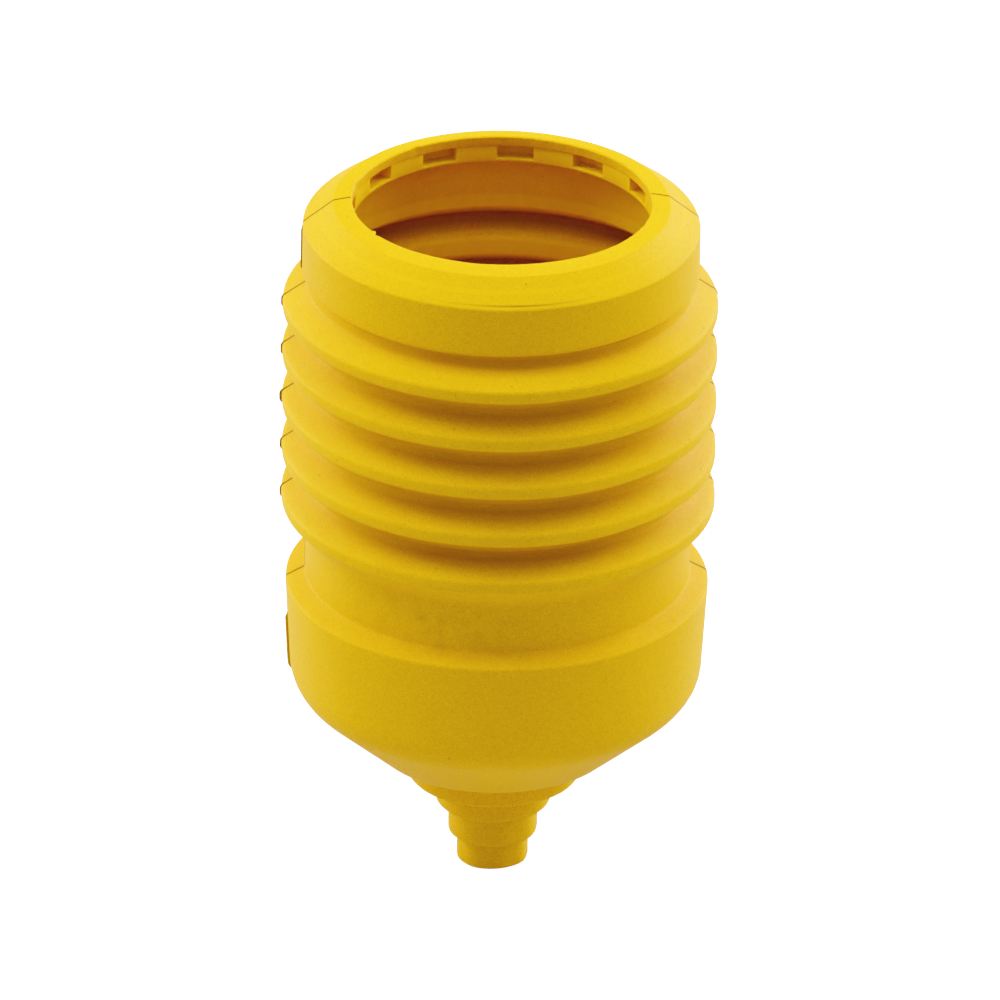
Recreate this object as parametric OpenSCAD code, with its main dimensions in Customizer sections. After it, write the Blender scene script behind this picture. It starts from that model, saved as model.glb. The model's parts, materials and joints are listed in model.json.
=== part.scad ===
// Weatherproof bellows boot for an electrical plug, moulded in one piece from
// soft rubber. The plug goes in through the stretchy mouth at the top and the
// cable leaves through the stepped sleeve at the bottom. The boot is drawn as a
// stack of rings, cut flat across one wall profile, so that neighbouring rings
// always meet face to face.

/* [Cable sleeve] */
// Outside diameter of the widest sleeve step, just under the funnel
step_1_d = 29.2; // [27:0.2:31]
// Outside diameter of the second sleeve step
step_2_d = 19.2; // [18:0.2:21]
// Outside diameter of the third sleeve step
step_3_d = 14.8; // [14:0.2:16]
// Outside diameter of the narrowest sleeve step, at the tip
step_4_d = 11.8; // [9:0.2:12]
// Height of the widest sleeve step
step_1_h = 6; // [3.2:0.1:8]
// Height of the second sleeve step
step_2_h = 5.4; // [4:0.1:10]
// Height of the third sleeve step
step_3_h = 5.8; // [4:0.1:10]
// Height of the narrowest sleeve step
step_4_h = 4.9; // [3:0.1:12]
// Wall thickness of the sleeve steps and of the floors between them
sleeve_wall = 1.8; // [1.2:0.1:2]

/* [Funnel and cup] */
// Outside diameter of the bottom edge of the funnel
funnel_end_d = 41.2; // [35:0.2:46]
// Height of the funnel
funnel_h = 12; // [9:0.1:18]
// Outside diameter of the cup at its bottom edge
cup_bottom_d = 68.8; // [64:0.2:70]
// Outside diameter of the cup at its top edge
cup_top_d = 71; // [70:0.2:74]
// Height of the cup wall
cup_h = 18.6; // [14:0.1:30]
// Roundness of the cup's bottom edge
cup_edge_r = 7.2; // [4:0.1:8]
// Height of the sloping ledge on top of the cup
ledge_h = 1.8; // [1:0.1:2.4]
// Wall thickness of the funnel, cup and waist
wall = 2.2; // [1.8:0.1:2.6]

/* [Bellows] */
// Outside diameter of the plain waist below the bellows
waist_d = 64.6; // [62:0.2:66]
// Height of the waist
waist_h = 9.5; // [6:0.1:16]
// Outside diameter over the crests
crest_d = 72.8; // [71:0.2:76]
// Outside diameter at the bottom of the grooves
groove_d = 64.8; // [63:0.2:65.6]
// Distance from one crest to the next
pitch = 8.88; // [7.6:0.04:11]
// Height of the upright face on each crest
nose_h = 2; // [1.6:0.1:2.4]
// Height of the floor of each groove
groove_h = 1.2; // [1:0.1:1.6]
// Height of the flare under the lowest crest
flare_h = 3.4; // [2.6:0.1:6]
// Wall thickness of the bellows
bellows_wall = 1.9; // [1.6:0.1:2.2]
// Height of the straight neck between the bellows and the collar
neck_h = 2.4; // [1.6:0.1:4]

/* [Collar and mouth] */
// Outside diameter of the collar
collar_d = 66.4; // [66:0.2:70]
// Inside diameter of the collar
collar_bore_d = 58.6; // [57:0.2:60]
// Height of the straight band of the collar
band_h = 8.5; // [6:0.5:14]
// Height of the sloping shoulder of the collar
shoulder_h = 3.8; // [3.6:0.1:5]
// Outside diameter of the flat face around the mouth
face_d = 56.2; // [54:0.2:58]
// Rise of the flat face from its edge to the mouth
face_rise = 0.5; // [0.2:0.1:1]
// Diameter of the mouth
mouth_d = 50; // [46:0.5:51]
// Thickness of the lip around the mouth
lip_t = 1.8; // [1.2:0.1:2.4]
// Number of pockets in the grip ring
pocket_count = 12; // [6:1:16]
// Width of each pocket, as an angle
pocket_angle = 14; // [6:1:18]
// Depth of the pockets, outward from the mouth
pocket_depth = 2.5; // [1.5:0.1:2.6]
// Height of the pockets
pocket_h = 2.6; // [1.5:0.1:3]

/* [Finish] */
// Colour of the rubber
rubber = "#e0b41e"; // ["#e0b41e":Yellow, "#d8541c":Orange, "#26282a":Black]

/* [Hidden] */
$fn = 96;

// Number of crests in the bellows
crest_count = 5;
// Straight pieces that make up one rounded corner
corner_steps = 5;
// Radii of the rounded corners, from sharp to soft
sharp_r = 0.3;
edge_r = 0.6;
nose_r = 1;
groove_edge_r = 0.9;
hollow_edge_r = 1.2;
flare_r = 3;
// Clearance of the lugs behind the edge of the lip
lug_inset = 0.15;
// Thickness of the thin floor under the pockets
pocket_floor = 0.4;
// Turn that sets the first pocket against the mould's parting plane
pocket_start = 21.7;
// Overshoot that makes cuts clean
eps = 0.01;

// Radii of the sleeve steps, funnel, cup, waist and collar
step_r = [step_1_d / 2, step_2_d / 2, step_3_d / 2, step_4_d / 2];
bore_r = [for (r = step_r) r - sleeve_wall];
crest_r = crest_d / 2;
groove_r = groove_d / 2;
waist_r = waist_d / 2;
collar_r = collar_d / 2;
collar_bore_r = collar_bore_d / 2;
mouth_r = mouth_d / 2;
pocket_r = mouth_r + pocket_depth;

// Flanks of the bellows, from the upright face of a crest to a groove's floor
flank_h = (pitch - nose_h - groove_h) / 2;
flank_angle = atan(flank_h / (crest_r - groove_r));
// Inside of the bellows, a wall's thickness behind the flanks
ridge_r = groove_r - bellows_wall;
hollow_r = crest_r - (bellows_wall - nose_h / 2 * cos(flank_angle)) / sin(flank_angle);
ridge_h = (hollow_r - ridge_r) * tan(flank_angle);

// Heights above the tip, from the bottom up
step_z = [
    step_4_h + step_3_h + step_2_h,
    step_4_h + step_3_h,
    step_4_h,
    0
];
funnel_z = step_z[0] + step_1_h;
cup_z = funnel_z + funnel_h;
ledge_z = cup_z + cup_h;
waist_z = ledge_z + ledge_h;
flare_z = waist_z + waist_h;
low_crest_z = flare_z + flare_h + nose_h / 2;
// Height of crest number n, counted from the top
function crest_z(n) = low_crest_z + (crest_count - n) * pitch;
band_z = crest_z(1) + nose_h / 2 + flank_h + neck_h;
shoulder_z = band_z + band_h;
face_z = shoulder_z + shoulder_h;
top_z = face_z + face_rise;
lip_z = top_z - lip_t;
pocket_z = lip_z - pocket_h;
pocket_floor_z = pocket_z - pocket_floor;

// Cuts between neighbouring rings
funnel_top = cup_z + 4;
cup_top = ledge_z - 2;
waist_bottom = waist_z + edge_r;
waist_top = flare_z - flare_r / 2 - edge_r;

// Unit vector along v, and the direction that lies to its left
function unit(v) = v / norm(v);
function left(v) = [-v.y, v.x];

// Points along a circle's arc about the centre c
function arc(c, r, from, to, steps) = [
    for (i = [0:steps])
        let (a = from + (to - from) * i / steps)
            c + r * [cos(a), sin(a)]
];

// Points that round the corner b, on the way from a to c
function rounded(a, b, c, r) =
    let (
        u = unit(a - b),
        v = unit(c - b),
        half = acos(u * v) / 2,
        centre = b + unit(u + v) * r / sin(half),
        first = b + u * r / tan(half) - centre,
        last = b + v * r / tan(half) - centre,
        start = atan2(first.y, first.x),
        turn = atan2(cross(first, last), first * last)
    )
    arc(centre, r, start, start + turn, corner_steps);

// Corner b moved to the left of the path a, b, c by the thickness t
function inset(a, b, c, t) =
    let (
        m = left(unit(b - a)),
        n = left(unit(c - b))
    )
    b + t * (m + n) / (1 + m * n);

// Outline through corners [x, y, radius], where a radius of 0 stays sharp
function outline(corners) = [
    for (i = [0:len(corners) - 1])
        let (
            n = len(corners),
            a = corners[(i + n - 1) % n],
            b = corners[i],
            c = corners[(i + 1) % n]
        )
        each b.z == 0
            ? [[b.x, b.y]]
            : rounded([a.x, a.y], [b.x, b.y], [c.x, c.y], b.z)
];

// Outside of the sleeve, funnel, cup and waist, from the tip up
funnel_edge = [funnel_end_d / 2, funnel_z];
cup_edge = [cup_bottom_d / 2, cup_z];
ledge_edge = [cup_top_d / 2, ledge_z];
waist_edge = [waist_r, waist_z];
flare_edge = [waist_r, flare_z];
lower_outside = [
    [bore_r[3], 0, 0],
    [step_r[3], 0, sharp_r],
    [step_r[3], step_z[2], 0],
    [step_r[2], step_z[2], edge_r],
    [step_r[2], step_z[1], 0],
    [step_r[1], step_z[1], edge_r],
    [step_r[1], step_z[0], 0],
    [step_r[0], step_z[0], edge_r],
    [step_r[0], funnel_z, 0],
    [funnel_edge.x, funnel_edge.y, sharp_r],
    [cup_edge.x, cup_edge.y, cup_edge_r],
    [ledge_edge.x, ledge_edge.y, edge_r],
    [waist_edge.x, waist_edge.y, edge_r],
    [flare_edge.x, flare_edge.y, flare_r]
];

// Outside of the bellows and of the neck under the collar, from the bottom up
bellows_outside = [
    for (n = [crest_count:-1:1])
        let (z = crest_z(n))
            each [
                [crest_r, z - nose_h / 2, nose_r],
                [crest_r, z + nose_h / 2, nose_r],
                [groove_r, z + nose_h / 2 + flank_h, groove_edge_r],
                n == 1
                    ? [groove_r, band_z, 0]
                    : [groove_r, z + pitch - nose_h / 2 - flank_h, groove_edge_r]
            ]
];

// Outside of the collar and mouth, then the inside down to the collar's bore
collar = [
    [collar_r, band_z, sharp_r],
    [collar_r, shoulder_z, edge_r],
    [face_d / 2, face_z, edge_r],
    [mouth_r, top_z, sharp_r],
    [mouth_r, lip_z, 0],
    [pocket_r, lip_z, 0],
    [pocket_r, pocket_floor_z, 0],
    [collar_bore_r, pocket_floor_z, edge_r]
];

// Inside of the bellows, from the collar's bore down to the flare
bellows_inside = [
    for (n = [1:crest_count])
        let (z = crest_z(n))
            each concat(
                n == 1
                    ? [[collar_bore_r, z + (hollow_r - collar_bore_r) * tan(flank_angle), edge_r]]
                    : [[ridge_r, z + ridge_h, hollow_edge_r]],
                [[hollow_r, z, hollow_edge_r]],
                n == crest_count ? [] : [[ridge_r, z - ridge_h, hollow_edge_r]]
            )
];
inner_waist_r = waist_r - wall;
flare_inside = [
    inner_waist_r,
    low_crest_z - (hollow_r - inner_waist_r) * flare_h / (crest_r - waist_r)
];

// Inside of the waist, cup, funnel and sleeve, from the top down
waist_inside = inset(ledge_edge, waist_edge, flare_edge, wall);
ledge_inside = inset(cup_edge, ledge_edge, waist_edge, wall);
cup_inside = inset(funnel_edge, cup_edge, ledge_edge, wall);
funnel_inside = inset([step_r[0], funnel_z], funnel_edge, cup_edge, wall);
lower_inside = [
    [flare_inside.x, flare_inside.y, flare_r],
    [waist_inside.x, waist_inside.y, edge_r],
    [ledge_inside.x, ledge_inside.y, edge_r],
    [cup_inside.x, cup_inside.y, cup_edge_r - wall],
    [funnel_inside.x, funnel_inside.y, edge_r],
    [bore_r[0], funnel_inside.y, sharp_r],
    [bore_r[0], step_z[0] + sleeve_wall, 0],
    [bore_r[1], step_z[0] + sleeve_wall, 0],
    [bore_r[1], step_z[1] + sleeve_wall, 0],
    [bore_r[2], step_z[1] + sleeve_wall, 0],
    [bore_r[2], step_z[2] + sleeve_wall, 0],
    [bore_r[3], step_z[2] + sleeve_wall, 0]
];

// Whole wall, as one closed outline of radius and height
wall_profile = outline(concat(
    lower_outside,
    bellows_outside,
    collar,
    bellows_inside,
    lower_inside
));

// Ring of the wall between two heights
module ring(from, to) {
    color(rubber)
        rotate_extrude()
            intersection() {
                polygon(wall_profile);
                translate([0, from])
                    square([crest_r + wall, to - from]);
            }
}

// Ring around crest number n, or around the groove above that crest
module crest_ring(n) {
    ring(crest_z(n) - pitch / 4, crest_z(n) + pitch / 4);
}
module groove_ring(n) {
    ring(crest_z(n) + pitch / 4, crest_z(n) + pitch * 3 / 4);
}

// Sector-shaped cutter for one pocket of the grip ring
module pocket() {
    rotate(-pocket_angle / 2)
        rotate_extrude(angle = pocket_angle)
            translate([mouth_r - pocket_depth, pocket_z])
                square([2 * pocket_depth + eps, pocket_h + eps]);
}

// Inward lip that stretches over the plug and seals on it
module mouth_lip() {
    ring(lip_z, top_z);
}

// Castellated ring of lugs and pockets, just inside the lip
module grip_ring() {
    color(rubber)
        difference() {
            rotate_extrude()
                translate([mouth_r + lug_inset, pocket_floor_z])
                    square([pocket_depth - lug_inset, lip_z - pocket_floor_z]);
            for (i = [0:pocket_count - 1])
                rotate(pocket_start + i * 360 / pocket_count)
                    pocket();
        }
}

// Sloping shoulder around the lip and the grip ring
module collar_shoulder() {
    ring(pocket_floor_z, lip_z);
}

// Straight band that holds the collar round
module collar_band() {
    ring(band_z, pocket_floor_z);
}

// Groove between the collar and the top crest
module groove_1() {
    ring(crest_z(1) + pitch / 4, band_z);
}

module crest_1() {
    crest_ring(1);
}

module groove_2() {
    groove_ring(2);
}

module crest_2() {
    crest_ring(2);
}

module groove_3() {
    groove_ring(3);
}

module crest_3() {
    crest_ring(3);
}

module groove_4() {
    groove_ring(4);
}

module crest_4() {
    crest_ring(4);
}

module groove_5() {
    groove_ring(5);
}

// Lowest crest, with the flare that leads down to the waist
module crest_5() {
    ring(waist_top, crest_z(5) + pitch / 4);
}

// Plain tube between the bellows and the cup
module waist() {
    ring(waist_bottom, waist_top);
}

// Sloping ledge on top of the cup
module cup_shoulder() {
    ring(cup_top, waist_bottom);
}

// Stiff cup around the back of the plug
module cup_wall() {
    ring(funnel_top, cup_top);
}

// Cone that narrows the cup to the cable sleeve
module funnel() {
    ring(funnel_z, funnel_top);
}

// Steps of the cable sleeve, cut back to the one that fits the cable
module sleeve_step_1() {
    ring(step_z[0], funnel_z);
}

module sleeve_step_2() {
    ring(step_z[1], step_z[0]);
}

module sleeve_step_3() {
    ring(step_z[2], step_z[1]);
}

module sleeve_step_4() {
    ring(step_z[3], step_z[2]);
}

mouth_lip();
grip_ring();
collar_shoulder();
collar_band();
groove_1();
crest_1();
groove_2();
crest_2();
groove_3();
crest_3();
groove_4();
crest_4();
groove_5();
crest_5();
waist();
cup_shoulder();
cup_wall();
funnel();
sleeve_step_1();
sleeve_step_2();
sleeve_step_3();
sleeve_step_4();
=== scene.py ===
"""Looks of the plug bellows boot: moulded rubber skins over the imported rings."""

import json
import math
from types import SimpleNamespace

import bmesh
import bpy
import numpy as np
from mathutils import Matrix, Vector, noise

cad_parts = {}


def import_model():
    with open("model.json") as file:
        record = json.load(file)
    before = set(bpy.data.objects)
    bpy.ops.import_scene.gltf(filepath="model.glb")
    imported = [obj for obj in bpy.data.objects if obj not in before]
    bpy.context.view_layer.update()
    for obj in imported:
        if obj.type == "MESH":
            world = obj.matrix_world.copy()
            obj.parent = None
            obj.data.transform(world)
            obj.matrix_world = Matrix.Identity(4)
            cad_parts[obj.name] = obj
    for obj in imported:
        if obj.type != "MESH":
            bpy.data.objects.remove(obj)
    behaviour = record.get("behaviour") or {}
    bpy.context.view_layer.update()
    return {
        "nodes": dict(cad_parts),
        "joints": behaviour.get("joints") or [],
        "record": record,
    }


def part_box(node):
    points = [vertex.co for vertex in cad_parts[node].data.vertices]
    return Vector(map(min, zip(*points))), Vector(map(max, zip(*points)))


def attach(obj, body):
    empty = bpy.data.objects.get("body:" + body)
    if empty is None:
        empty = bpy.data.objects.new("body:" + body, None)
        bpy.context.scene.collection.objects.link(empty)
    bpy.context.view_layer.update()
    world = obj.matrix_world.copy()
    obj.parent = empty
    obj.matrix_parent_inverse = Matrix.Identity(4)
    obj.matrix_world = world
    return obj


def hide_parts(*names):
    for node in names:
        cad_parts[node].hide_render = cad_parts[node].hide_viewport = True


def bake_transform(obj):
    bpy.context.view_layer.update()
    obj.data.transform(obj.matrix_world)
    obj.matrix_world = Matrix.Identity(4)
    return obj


MM = 0.001

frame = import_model()
record = frame["record"]

# Heights and radii of the boot's features, in metres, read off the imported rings.
PARTS = list(frame["nodes"])
BODY_OF = {n: b for b, ns in record["behaviour"]["bodies"].items() for n in ns}
JOINT_OF = {j["child"]: j for j in frame["joints"]}
LOW = {n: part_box(n)[0] for n in PARTS}
HIGH = {n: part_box(n)[1] for n in PARTS}
TOP = HIGH["mouth_lip"].z
CREST_R = HIGH["crest_1"].x
MOUTH_R = next(m["dims"]["r_mm"] for m in record["mounts"] if m["name"] == "mouth") * MM
CREST_Z = [(LOW[f"crest_{k}"].z + HIGH[f"crest_{k}"].z) / 2 for k in range(1, 5)]
CREST_Z.append(2 * CREST_Z[3] - CREST_Z[2])
PITCH = CREST_Z[0] - CREST_Z[1]

# Points closer than WELD are one point, points closer than ON_CUT to the cut between
# two rings lie on it, and rings closer than MEET touch.
WELD = 1e-7
ON_CUT = 2e-6
MEET = 1e-5

# Fineness of the skins, and the turn above which an edge is a hard one.
STEP = 1.0 * MM
SEGMENTS = 288
HARD_TURN = math.radians(38)


# ---------------------------------------------------------------- skins


def section(name):
    """Closed outline of a ring, as an (n, 2) array of radius and height."""
    bm = bmesh.new()
    bm.from_mesh(frame["nodes"][name].data)
    bmesh.ops.remove_doubles(bm, verts=bm.verts, dist=WELD)
    cut = bmesh.ops.bisect_plane(
        bm,
        geom=bm.verts[:] + bm.edges[:] + bm.faces[:],
        dist=WELD,
        plane_co=(0, 0, 0),
        plane_no=(0, 1, 0),
    )
    links = {}
    for edge in cut["geom_cut"]:
        if isinstance(edge, bmesh.types.BMEdge) and min(v.co.x for v in edge.verts) > 0:
            a, b = edge.verts
            links.setdefault(a, []).append(b)
            links.setdefault(b, []).append(a)
    start = max(links, key=lambda v: (round(v.co.z, 7), v.co.x))
    walk, last = [start], None
    while True:
        here = walk[-1]
        onward = [v for v in links[here] if v is not last]
        if not onward or onward[0] is start:
            break
        last = here
        walk.append(onward[0])
    points = np.array([(v.co.x, v.co.z) for v in walk])
    bm.free()
    return tidy_loop(points)


def tidy_loop(points):
    """The loop without points on straight runs, turning anticlockwise."""
    keep = []
    for i, b in enumerate(points):
        a, c = points[i - 1], points[(i + 1) % len(points)]
        u, v = b - a, c - b
        lu, lv = np.linalg.norm(u), np.linalg.norm(v)
        if lu > 0.1 * WELD and abs(u[0] * v[1] - u[1] * v[0]) > 1e-4 * lu * lv:
            keep.append(b)
    loop = np.array(keep)
    x, y = loop[:, 0], loop[:, 1]
    area = np.sum(x * np.roll(y, -1) - np.roll(x, -1) * y)
    return loop if area > 0 else loop[::-1]


def refined(loop):
    """The loop with its long straight runs cut into pieces of about one step."""
    out = []
    for a, b in zip(loop, np.roll(loop, -1, axis=0)):
        pieces = max(1, int(round(np.linalg.norm(b - a) / STEP)))
        out += [a + (b - a) * i / pieces for i in range(pieces)]
    return np.array(out)


def parting_azimuths():
    """Angles around the boot, crowded together at the two parting lines."""
    crowd = np.array([0.05, 0.10, 0.15, 0.22, 0.34, 0.6]) * MM / CREST_R
    near = np.concatenate([-crowd[::-1], [0.0], crowd])
    even = np.arange(SEGMENTS) * 2 * math.pi / SEGMENTS + math.pi / SEGMENTS
    off = np.abs((even + math.pi / 2) % math.pi - math.pi / 2)
    even = even[off > 1.5 * crowd[-1]]
    return np.sort(np.concatenate([even, near % (2 * math.pi), near + math.pi]))


AZIMUTHS = np.unique(np.round(parting_azimuths(), 9))

# Heights of the flat cuts between two rings.
CUTS = sorted(
    {
        round(LOW[a].z, 6)
        for a in PARTS
        for b in PARTS
        if a != b and abs(LOW[a].z - HIGH[b].z) < MEET
    }
)

# Soft rubber is never quite round. Each wander of the radius has a number of waves,
# a depth in mm, a start and the angle that it turns through up the boot's height.
WANDERS = (
    (2, 0.10, 0.7, 1.5),
    (3, 0.06, 2.1, -4.0),
    (5, 0.04, -1.0, 6.0),
    (8, 0.03, 0.0, 9.0),
)


def wobble(azimuth, z):
    """Slow, shallow change of the radius around the boot, in metres."""
    t = z / TOP
    return MM * sum(
        depth * np.sin(waves * azimuth + start + turn * t)
        for waves, depth, start, turn in WANDERS
    )


# How far the flash stands out, in mm: everywhere, and what it gains on the collar
# band, on the strip on the cup and on each crest from the top down, where -1 is
# the left side and 1 the right.
FIN = 0.06
BAND_FIN = 0.22
STRIP_FIN = 0.42
NIBS = {-1: (0.24, 0.26, 0.42, 0.28, 0.24), 1: (0.10, 0.0, 0.22, 0.22, 0.16)}

# Half widths of the fin of flash and of the parting line's thread.
FIN_WIDTH = 0.15 * MM
SEAM_WIDTH = 0.32 * MM


def flat_bell(off, width):
    """1 in the middle, falling off steeply a width away from it."""
    return np.exp(-((off / width) ** 4))


def cup_strip(radius, z):
    """1 where a strip of flash was left standing on the side of the cup."""
    low = LOW["cup_wall"].z - 2.9 * MM
    top = LOW["cup_wall"].z + 0.60 * (HIGH["cup_wall"].z - LOW["cup_wall"].z)
    fade = 0.4 * MM
    strip = np.clip((z - low) / fade, 0, 1) * np.clip((top - z) / fade, 0, 1)
    return strip * (radius > 0.88 * CREST_R)


def ridge_height(radius, z, side):
    """How proud the parting line's thin fin of flash stands, in metres."""
    height = np.full_like(z, FIN)
    for crest, proud in zip(CREST_Z, NIBS[side]):
        reach = 1.2 if side < 0 or crest == CREST_Z[0] else 0.45
        nose = flat_bell(z - crest, reach * MM)
        height += proud * nose * (radius > CREST_R - 2.6 * MM)
    low, high = LOW["collar_band"].z, HIGH["collar_band"].z
    height += BAND_FIN * (z > low) * (z < high)
    if side < 0:
        height += STRIP_FIN * cup_strip(radius, z)
    return height * MM


def seam_shift(r, z):
    """Angle by which the parting lines lie behind the middle of the boot."""
    on_cup, on_crests, more_at_mouth = 0.034, 0.05, 0.035
    side = np.interp(z, (HIGH["cup_wall"].z, CREST_Z[4]), (on_cup, on_crests))
    band_r = HIGH["collar_band"].x
    inward = np.clip((band_r - r) / (band_r - MOUTH_R), 0, 1)
    return side + more_at_mouth * inward * (z > HIGH["collar_band"].z)


def rim_nicks(a, r, z):
    """Uneven edge around the mouth, where the moulder's flash was trimmed away."""
    near = np.exp(-(np.maximum(r - MOUTH_R, 0) / (0.45 * MM)) ** 2)
    near = near * np.exp(-(((TOP - z) / (0.9 * MM)) ** 2))
    flap_at, flap_height = 211, 0.25
    trim = np.zeros(len(AZIMUTHS))
    for j, angle in enumerate(AZIMUTHS):
        spot = Vector((math.cos(angle), math.sin(angle), 0.3))
        slow = noise.noise(spot * 3.1)
        cuts = max(0.0, noise.noise(spot * 8.5 + Vector((3, 0, 0))) - 0.05)
        ragged = noise.noise(spot * 42)
        trim[j] = 0.9 * max(0.0, slow) * cuts + 0.10 * cuts * ragged + 0.02 * ragged
        off = math.degrees(angle) - flap_at
        flap = math.exp(-((off - 2.2) ** 2)) - math.exp(-((off / 0.9) ** 2))
        trim[j] += flap_height * flap
    front = (1 - np.sin(a)) / 2
    oval = np.sin(a) ** 2 * (0.3 + 0.6 * front)
    ragged_back = 2.2 + 1.6 * np.clip(np.sin(a), 0, 1)
    return near * (trim[None, :] * ragged_back - oval) * MM


def outward(heading, is_cut):
    """Normal at each point of a loop, leaving out the flat cuts between rings."""
    normal = np.zeros_like(heading)
    for i in range(len(heading)):
        for j in (i - 1, i):
            if not is_cut[j]:
                normal[i] += (heading[j][1], -heading[j][0])
    return normal / np.maximum(np.linalg.norm(normal, axis=1), 1e-9)[:, None]


def parting_marks(a, r, z):
    """Height of the flash and strength of the parting line at each point."""
    lift, seam = np.zeros_like(r), np.zeros_like(r)
    for side, centre in ((1, 0.0), (-1, math.pi)):
        across = ((a - centre + math.pi) % (2 * math.pi) - math.pi) * CREST_R
        fin = flat_bell(across, FIN_WIDTH)
        lift += fin * ridge_height(r, z, side)
        seam += flat_bell(across, SEAM_WIDTH)
        if side < 0:
            seam -= 0.85 * fin * cup_strip(r, z)
    return lift, seam


def skin(name):
    """A closed, finely turned ring for one node, with the mould's marks on it."""
    loop = refined(section(name))
    following = np.roll(loop, -1, axis=0)
    n, m = len(loop), len(AZIMUTHS)
    at_cut = [any(abs(height - c) < ON_CUT for c in CUTS) for height in loop[:, 1]]
    is_cut = [
        at_cut[i] and at_cut[(i + 1) % n] and abs(loop[i][1] - following[i][1]) < WELD
        for i in range(n)
    ]
    heading = following - loop
    heading /= np.linalg.norm(heading, axis=1)[:, None]
    normal = outward(heading, is_cut)
    # The marks keep to the outside of the wall, which faces out or lies far out.
    middle = (loop[:, 0].min() + loop[:, 0].max()) / 2
    facing, tilt = normal[:, 0], 0.2
    outer = (facing > -tilt) & (
        (loop[:, 0] > middle) | (facing > tilt) | (name == "mouth_lip")
    )
    r = np.repeat(loop[:, :1], m, axis=1)
    z = np.repeat(loop[:, 1:], m, axis=1)
    a = np.repeat(AZIMUTHS[None, :], n, axis=0)
    lift, seam = parting_marks(a, r, z)
    lift *= outer[:, None]
    seam *= outer[:, None]
    a = a + seam_shift(r, z) * np.cos(a)
    grow = wobble(a, z)
    if name == "mouth_lip":
        grow = grow + rim_nicks(a, r, z)
    reach = r + grow + lift * normal[:, :1]
    place = (reach * np.cos(a), reach * np.sin(a), z + lift * normal[:, 1:])
    verts = np.stack(place, axis=2).reshape(-1, 3)
    faces = []
    for i in range(n):
        k = (i + 1) % n
        for j in range(m):
            q = (j + 1) % m
            faces.append((i * m + j, i * m + q, k * m + q, k * m + j))
    mesh = bpy.data.meshes.new(f"skin_{name}")
    mesh.from_pydata(verts.tolist(), [], faces)
    mesh.update()
    turns = [float(np.dot(heading[i - 1], heading[i])) for i in range(n)]
    sharp = {
        i for i in range(n)
        if turns[i] < math.cos(HARD_TURN) or is_cut[i] != is_cut[i - 1]
    }
    harden(mesh, sharp, m)
    line = mesh.attributes.new("seam", "FLOAT", "POINT")
    line.data.foreach_set("value", seam.reshape(-1).astype(np.float32))
    return piece_of(mesh)


def harden(mesh, sharp_rows, per_row):
    """Hard edges along the given rows of points."""
    for edge in mesh.edges:
        i, j = (v // per_row for v in edge.vertices)
        if i == j and i in sharp_rows:
            edge.use_edge_sharp = True


def piece_of(mesh):
    """An object for the mesh, smooth, with rest places for the rubber's marks."""
    mesh.polygons.foreach_set("use_smooth", [True] * len(mesh.polygons))
    co = np.zeros(len(mesh.vertices) * 3, np.float32)
    mesh.vertices.foreach_get("co", co)
    rest = mesh.attributes.new("rest", "FLOAT_VECTOR", "POINT")
    rest.data.foreach_set("vector", co)
    piece = bpy.data.objects.new(mesh.name, mesh)
    bpy.context.scene.collection.objects.link(piece)
    return piece


def grip_ring():
    """The lugs and pockets behind the lip, with softened edges."""
    bm = bmesh.new()
    bm.from_mesh(frame["nodes"]["grip_ring"].data)
    bmesh.ops.remove_doubles(bm, verts=bm.verts, dist=10 * WELD)
    bmesh.ops.dissolve_limit(
        bm, angle_limit=math.radians(1), verts=bm.verts, edges=bm.edges
    )
    mesh = bpy.data.meshes.new("skin_grip_ring")
    bm.to_mesh(mesh)
    bm.free()
    piece = piece_of(mesh)
    soften = piece.modifiers.new("soften", "BEVEL")
    soften.width = 0.12 * MM
    soften.segments = 3
    soften.limit_method = "ANGLE"
    soften.angle_limit = math.radians(40)
    return piece


# ---------------------------------------------------------------- rubber


# Colours of the rubber, of the marks on it and of the shade and light painted on it, as 0
# to 255 display values.
PIGMENT, PIGMENT_PALE = (230, 161, 9), (234, 167, 10)
GRAIN_DARK, GRAIN_PALE = (196, 126, 6), (254, 196, 20)
BLOOM = (244, 185, 34)
# Painted shade in the grooves outside and under the crests.
GROOVE_SHADE = (164, 83, 6)
# Painted shade in the hollows inside the bellows.
HOLLOW_SHADE = (120, 43, 6)
# Painted light on the ribs inside the bellows.
RIB_LIGHT = (250, 196, 14)
# Painted light on the bore.
BORE_LIGHT = (250, 192, 12)
# Painted shade of a small step on the shoulder.
STEP_SHADE = (140, 90, 5)
SMUDGE = (140, 98, 30)
# Parting line's thread: partly the fin's own edge, partly its painted shadow.
THREAD_AND_SHADOW = (88, 50, 4)
GRIT = (96, 66, 10)

# Tints of the light that the rubber's surface and its fine dust throw back.
GLOSS_TINT = (1.0, 0.88, 0.32, 1.0)
DUST_TINT = (1.0, 0.88, 0.22, 1.0)


def mm(length):
    """A length in metres as millimetres, which the marks are laid out in."""
    return length / MM


def srgb(colour):
    """Linear light for a colour of 0 to 255 display values."""
    def line(v):
        return v / 12.92 if v <= 0.04045 else ((v + 0.055) / 1.055) ** 2.4

    return (*(line(v / 255) for v in colour), 1.0)


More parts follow.
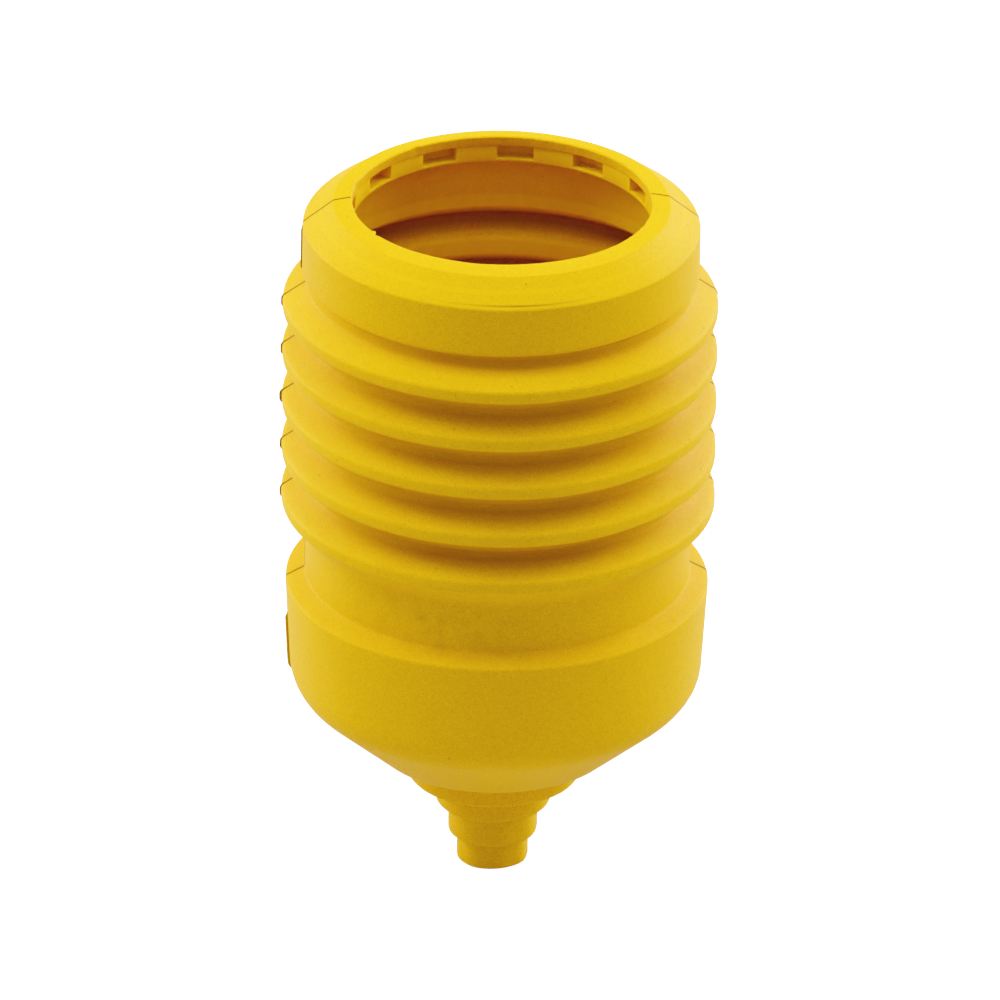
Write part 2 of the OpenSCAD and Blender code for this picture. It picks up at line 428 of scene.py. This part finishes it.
class Graph:
    """Short-hand for wiring shader nodes."""

    def __init__(self, owner):
        owner.use_nodes = True
        self.tree = owner.node_tree
        self.tree.nodes.clear()

    def add(self, kind, inputs=None, **settings):
        """A node with these settings; inputs are values or other nodes' outputs."""
        node = self.tree.nodes.new(kind)
        for key, value in settings.items():
            setattr(node, key, value)
        for key, value in (inputs or {}).items():
            if isinstance(value, bpy.types.NodeSocket):
                self.tree.links.new(value, node.inputs[key])
            else:
                node.inputs[key].default_value = value
        return node

    def math(self, operation, a, b=0.0):
        """Result of one sum on one or two values."""
        return self.add("ShaderNodeMath", {0: a, 1: b}, operation=operation).outputs[0]

    def times(self, first, *others):
        """Product of all the values."""
        for other in others:
            first = self.math("MULTIPLY", first, other)
        return first

    def plus(self, a, b):
        """Sum of two values."""
        return self.math("ADD", a, b)

    def ramp(self, value, low, high):
        """0 at low, 1 at high, straight between."""
        return self.add(
            "ShaderNodeMapRange",
            {"Value": value, "From Min": low, "From Max": high},
            clamp=True,
        ).outputs["Result"]

    def bump_at(self, value, centre, width):
        """1 at the centre, falling to 0 a width away."""
        off = self.math("ABSOLUTE", self.math("SUBTRACT", value, centre))
        return self.ramp(off, width, 0.0)

    def noise(self, vector, scale, detail=2.0, roughness=0.5):
        """Soft noise around 0.5, with this many ripples to a millimetre."""
        return self.add(
            "ShaderNodeTexNoise",
            {"Vector": vector, "Scale": scale, "Detail": detail, "Roughness": roughness},
        ).outputs["Fac"]

    def mix(self, factor, a, b):
        """Colour a, turning to b as the factor goes from 0 to 1."""
        return self.add(
            "ShaderNodeMix", {0: factor, 6: a, 7: b}, data_type="RGBA"
        ).outputs[2]

    def stain_or_shading(self, body, factor, colour):
        """The body's colour, with a colour of display values laid over it: used for stains
        and for painted shade and light.
        """
        return self.mix(factor, body, srgb(colour))


def rest_place(g):
    """Sockets for a point's rest place on the boot, in millimetres."""
    rest = g.add("ShaderNodeAttribute", attribute_name="rest").outputs["Vector"]
    place = g.add(
        "ShaderNodeVectorMath", {0: rest, "Scale": 1 / MM}, operation="SCALE"
    ).outputs[0]
    x, y, z = g.add("ShaderNodeSeparateXYZ", {0: place}).outputs
    flat = g.add("ShaderNodeCombineXYZ", {0: x, 1: y}).outputs[0]
    length = g.add("ShaderNodeVectorMath", {0: flat}, operation="LENGTH")
    return SimpleNamespace(place=place, x=x, y=y, z=z, radius=length.outputs["Value"])


def pigment(g, at, grain):
    """Slow drift of the pigment, a fine, even grain, and bloom on rubbed crests."""
    drift = g.noise(at.place, scale=0.045, detail=3.0)
    body = g.mix(g.ramp(drift, 0.3, 0.7), srgb(PIGMENT), srgb(PIGMENT_PALE))
    body = g.stain_or_shading(body, g.ramp(grain, 0.44, 0.24), GRAIN_DARK)
    body = g.stain_or_shading(body, g.ramp(grain, 0.56, 0.76), GRAIN_PALE)
    crest = g.ramp(at.radius, mm(CREST_R) - 1.1, mm(CREST_R) - 0.1)
    streak = g.noise(at.place, scale=0.35, detail=4.0, roughness=0.6)
    rubbed = g.times(crest, g.ramp(streak, 0.40, 0.75), 0.22)
    return g.stain_or_shading(body, rubbed, BLOOM)


def bellows_shade_and_light(g, at, body):
    """Painted shade in the grooves outside, and painted shade in the hollows and painted
    light on the ribs inside.
    """
    # The wave is 1 at the middle of a crest and -1 on the floor of a groove.
    up = g.math("SUBTRACT", at.z, mm(CREST_Z[0]))
    phase = g.times(up, 2 * math.pi * MM / PITCH)
    wave = g.math("COSINE", phase)
    collar = mm(LOW["collar_band"].z)
    bellows = g.times(
        g.ramp(at.z, mm(CREST_Z[4]), mm(CREST_Z[4]) + 2),
        g.ramp(at.z, collar + 0.1, collar - 0.1),
    )
    swing, depth = 1.9, 2.98
    mid_wall = g.plus(g.times(wave, swing), mm(CREST_R) - depth)
    outside = g.ramp(g.math("SUBTRACT", at.radius, mid_wall), -0.1, 0.1)
    inside = g.times(g.math("SUBTRACT", 1.0, outside), bellows)
    outside = g.times(outside, bellows)

    # Painted shade on the floors of the grooves and under the crests, most of all in the
    # end grooves, and less towards the sides.
    turned = g.math("DIVIDE", g.math("ABSOLUTE", at.x), at.radius)
    low_groove = mm((CREST_Z[3] + CREST_Z[4]) / 2)
    ends = g.plus(
        g.bump_at(at.z, mm(HIGH["groove_1"].z), 3.6), g.bump_at(at.z, low_groove, 3.0)
    )
    floor = g.times(g.ramp(wave, -0.2, -0.9), g.plus(g.times(ends, 0.18), 0.54))
    floor = g.times(floor, g.ramp(turned, 0.95, 0.35))
    under = g.times(g.ramp(g.math("SINE", phase), -0.62, -0.80), 0.6)
    under = g.times(under, g.ramp(turned, 1.0, 0.6))
    body = g.stain_or_shading(body, g.times(g.math("MAXIMUM", floor, under), outside), GROOVE_SHADE)

    # Painted shade in the hollows inside the bellows.
    body = g.stain_or_shading(body, g.times(g.ramp(wave, 0.1, 0.9), inside, 0.76), HOLLOW_SHADE)
    # Painted light on the ribs inside the bellows.
    return g.stain_or_shading(body, g.times(g.ramp(wave, 0.0, -0.7), inside, 0.6), RIB_LIGHT)


def bore_painted_light(g, at, body):
    """Painted light: the bore is painted a paler yellow, from the waist up to the lip."""
    within_wall = g.ramp(at.radius, 31.0, 29.6)
    below_lip = g.ramp(at.z, 121.0, 120.8)
    above_waist = g.ramp(at.z, 60.0, 66.0)
    return g.stain_or_shading(body, g.times(within_wall, below_lip, above_waist, 0.45), BORE_LIGHT)


def step_shade_line(g, at, body):
    """Painted shade of the small step that the mould's insert left just above the front
    edge of the shoulder, on the front only.
    """
    edge = HIGH["collar_band"]
    line = g.bump_at(at.radius, mm(edge.x) - 0.75, 0.26)
    line = g.times(line, g.ramp(at.z, mm(edge.z), mm(edge.z) + 0.5))
    front = g.times(g.ramp(at.y, -26.0, -31.0), g.bump_at(at.x, 1.0, 14.0))
    return g.stain_or_shading(body, g.times(line, front), STEP_SHADE)


def waist_smudge(g, at, body):
    """Grey smudge on the front of the waist."""
    up = g.bump_at(at.z, mm((LOW["waist"].z + HIGH["waist"].z) / 2), 7.0)
    across = g.bump_at(at.x, -12.0, 16.0)
    front = g.ramp(at.y, 0.0, -20.0)
    patches = g.noise(at.place, scale=0.28, detail=5.0, roughness=0.6)
    smudge = g.times(up, across, front, g.ramp(patches, 0.45, 0.7))
    return g.stain_or_shading(body, g.times(smudge, 0.5), SMUDGE)


def seam_thread_and_shadow(g, at, body):
    """The parting line shows as a thin, darker thread: partly the fin's own edge, partly
    the fin's shadow painted in along it.
    """
    seam = g.add("ShaderNodeAttribute", attribute_name="seam").outputs["Fac"]
    broken = g.ramp(g.noise(at.place, scale=0.5), 0.1, 0.4)
    return g.stain_or_shading(body, g.times(seam, broken, 0.92), THREAD_AND_SHADOW)


def grit_specks(g, at):
    """1 on sparse specks of grit moulded into the surface."""
    cells = g.add("ShaderNodeTexVoronoi", {"Vector": at.place, "Scale": 0.42})
    draw = g.add("ShaderNodeSeparateColor", {0: cells.outputs["Color"]}).outputs[0]
    lone = g.ramp(draw, 0.86, 0.88)
    return g.times(lone, g.ramp(cells.outputs["Distance"], 0.10, 0.05))


def surface_bump(g, at, grain, speck):
    """Normal for the grain, the specks and the rings left by turning the mould."""
    around = g.add("ShaderNodeCombineXYZ", {0: at.radius, 2: at.z}).outputs[0]
    rings = g.noise(around, scale=3.4, roughness=0.6)
    rings = g.times(rings, g.ramp(g.noise(at.place, scale=0.12), 0.35, 0.65))
    lumps = g.noise(at.place, scale=0.5, detail=3.0)
    height = g.plus(g.times(rings, 0.35), g.times(grain, 0.30))
    height = g.plus(height, g.times(lumps, 0.55))
    height = g.math("SUBTRACT", height, g.times(speck, 0.25))
    return g.add(
        "ShaderNodeBump", {"Strength": 0.5, "Distance": 0.22 * MM, "Height": height}
    ).outputs[0]


def rubber_material():
    """Matte yellow rubber, with the marks of its mould and of its use, and with shade and
    light painted on it.
    """
    material = bpy.data.materials.new("boot_rubber")
    g = Graph(material)
    at = rest_place(g)
    grain = g.noise(at.place, scale=5.5, detail=1.0, roughness=0.6)
    body = pigment(g, at, grain)
    for mark in (bellows_shade_and_light, bore_painted_light, step_shade_line, waist_smudge, seam_thread_and_shadow):
        body = mark(g, at, body)
    speck = grit_specks(g, at)
    body = g.stain_or_shading(body, g.times(speck, 0.6), GRIT)
    patches = g.ramp(g.noise(at.place, scale=1.3, detail=3.0), 0.2, 0.8)
    rough = g.add(
        "ShaderNodeMapRange", {"Value": patches, "To Min": 0.50, "To Max": 0.66}
    ).outputs[0]
    shader = g.add(
        "ShaderNodeBsdfPrincipled",
        {
            "Base Color": body,
            "Roughness": rough,
            "Normal": surface_bump(g, at, grain, speck),
            "IOR": 1.45,
            "Specular IOR Level": 0.12,
            "Specular Tint": GLOSS_TINT,
            "Sheen Weight": 0.05,
            "Sheen Roughness": 0.5,
            "Sheen Tint": DUST_TINT,
            "Subsurface Weight": 0.03,
            "Subsurface Radius": (1.0, 0.5, 0.1),
            "Subsurface Scale": 0.6 * MM,
        },
    )
    g.add("ShaderNodeOutputMaterial", {"Surface": shader.outputs[0]})
    return material


RUBBER = rubber_material()


def dress(piece, node):
    """The piece stands for the node, in rubber, and hangs on the node's body, unless the
    node's joint deforms it, when it is left loose.
    """
    piece.data.materials.clear()
    piece.data.materials.append(RUBBER)
    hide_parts(node)
    body = BODY_OF[node]
    joint = JOINT_OF.get(body)
    if not joint or node not in [d["node"] for d in joint["deforming_nodes"]]:
        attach(piece, body)
        return
    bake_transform(piece)


for part in PARTS:
    dress(grip_ring() if part == "grip_ring" else skin(part), part)


# ---------------------------------------------------------------- stage


# Light of the sky, the light that the white table gives back, and what the camera
# sees on top of that.
SKY = 0.22
FLOOR_GLOW = 0.29
FLOOR_SEEN = 2.6

# The film: slope of the tone curve in the shadows, the light that shows as pure
# white, the light below which blue is lost in a strong yellow, and the little blue
# that always stays.
GAIN = 1.18
WHITE = 2.9
BLUE_LOSS = 0.055
BLUE_LEFT = 0.004

# Soft lights: name, place and size in metres, and power in watts.
LAMPS = (
    ("overhead", (0.0, -0.1, 1.2), 0.9, 14.7),
    ("front_top", (0.0, -1.0, 1.1), 0.7, 2.0),
    ("back_top", (0.0, 0.9, 1.0), 0.7, 2.6),
    ("left_side", (-1.0, 0.15, 0.45), 0.6, 5.9),
    ("right_side", (1.0, 0.15, 0.45), 0.6, 7.8),
    ("left_high", (-0.8, 0.1, 0.95), 0.5, 7.3),
    ("right_high", (0.8, 0.1, 0.95), 0.5, 3.6),
    ("left_back", (-0.9, 0.8, 0.35), 0.6, 14.3),
    ("right_back", (0.9, 0.8, 0.35), 0.6, 17.9),
)
LAMPS_AIM = Vector((0, 0, 0.07))


def grey(level):
    """A neutral colour of this much light."""
    return (level, level, level, 1.0)


def stage_floor():
    """A plain white table, which the camera sees brighter than it lights the boot."""
    bpy.ops.mesh.primitive_plane_add(size=8, location=(0, 0, -0.2 * MM))
    floor = bpy.context.object
    floor.name = "floor"
    material = bpy.data.materials.new("floor_white")
    g = Graph(material)
    seen = g.add("ShaderNodeLightPath").outputs["Is Camera Ray"]
    shader = g.add(
        "ShaderNodeBsdfPrincipled",
        {
            "Base Color": g.mix(seen, grey(0.4), grey(0.92)),
            "Roughness": 0.9,
            "Emission Color": grey(1.0),
            "Emission Strength": g.plus(g.times(seen, FLOOR_SEEN), FLOOR_GLOW),
        },
    )
    g.add("ShaderNodeOutputMaterial", {"Surface": shader.outputs[0]})
    floor.data.materials.append(material)


def soft_light(name, place, size, power):
    """A round area light that faces the boot."""
    data = bpy.data.lights.new(name, "AREA")
    data.shape = "DISK"
    data.size = size
    data.energy = power
    lamp = bpy.data.objects.new(name, data)
    lamp.location = place
    lamp.rotation_euler = (LAMPS_AIM - Vector(place)).to_track_quat("-Z", "Y").to_euler()
    bpy.context.scene.collection.objects.link(lamp)


def camera():
    """Long lens, looking down on the boot from the front and a little to the left."""
    distance, roll = 4.94, math.radians(0.94)
    elevation, azimuth = math.radians(26.54), math.radians(3.7)
    middle = Vector((0.37 * MM, 0.0, 0.5447 * TOP))
    view_width = 1.3681 * TOP
    away = Vector((
        -math.sin(azimuth) * math.cos(elevation),
        -math.cos(azimuth) * math.cos(elevation),
        math.sin(elevation),
    ))
    data = bpy.data.cameras.new("camera")
    data.sensor_width = 36
    data.lens = data.sensor_width * distance / view_width
    data.clip_end = 50
    view = bpy.data.objects.new("camera", data)
    view.matrix_world = (
        Matrix.Translation(middle + away * distance)
        @ (-away).to_track_quat("-Z", "Y").to_matrix().to_4x4()
        @ Matrix.Rotation(roll, 4, "Z")
    )
    bpy.context.scene.collection.objects.link(view)
    bpy.context.scene.camera = view


def shown(light):
    """Display light for scene light, rising ever more slowly up to WHITE."""
    return GAIN * light / (1 + (GAIN - 1 / WHITE) * light)


def kept_blue(light):
    """What is left of the blue light: most of the bright, little of the faint."""
    return BLUE_LEFT + light**3 / (light**2 + BLUE_LOSS**2)


def develop(settings):
    """The plain display transform, with the film's response put in front of it."""
    settings.view_transform = "Standard"
    settings.use_curve_mapping = True
    mapping = settings.curve_mapping
    mapping.white_level = (WHITE, WHITE, WHITE)
    tone, blue = mapping.curves[3].points, mapping.curves[2].points
    for halvings in range(1, 7):
        part = 0.5**halvings
        tone.new(part, shown(part * WHITE))
    blue[0].location = (0.0, kept_blue(0.0) / WHITE)
    for halvings in range(1, 9):
        part = 0.5**halvings
        blue.new(part, kept_blue(part * WHITE) / WHITE)
    for point in blue:
        point.handle_type = "VECTOR"
    mapping.update()


def world():
    """An even sky, which the camera sees as pure white."""
    sky = bpy.data.worlds.new("studio")
    bpy.context.scene.world = sky
    g = Graph(sky)
    seen = g.add("ShaderNodeLightPath").outputs["Is Camera Ray"]
    strength = g.add("ShaderNodeMapRange", {"Value": seen, "To Min": SKY, "To Max": WHITE})
    light = g.add(
        "ShaderNodeBackground",
        {"Color": grey(1.0), "Strength": strength.outputs["Result"]},
    )
    g.add("ShaderNodeOutputWorld", {"Surface": light.outputs[0]})


stage_floor()
world()
develop(bpy.context.scene.view_settings)
for lamp in LAMPS:
    soft_light(*lamp)
camera()
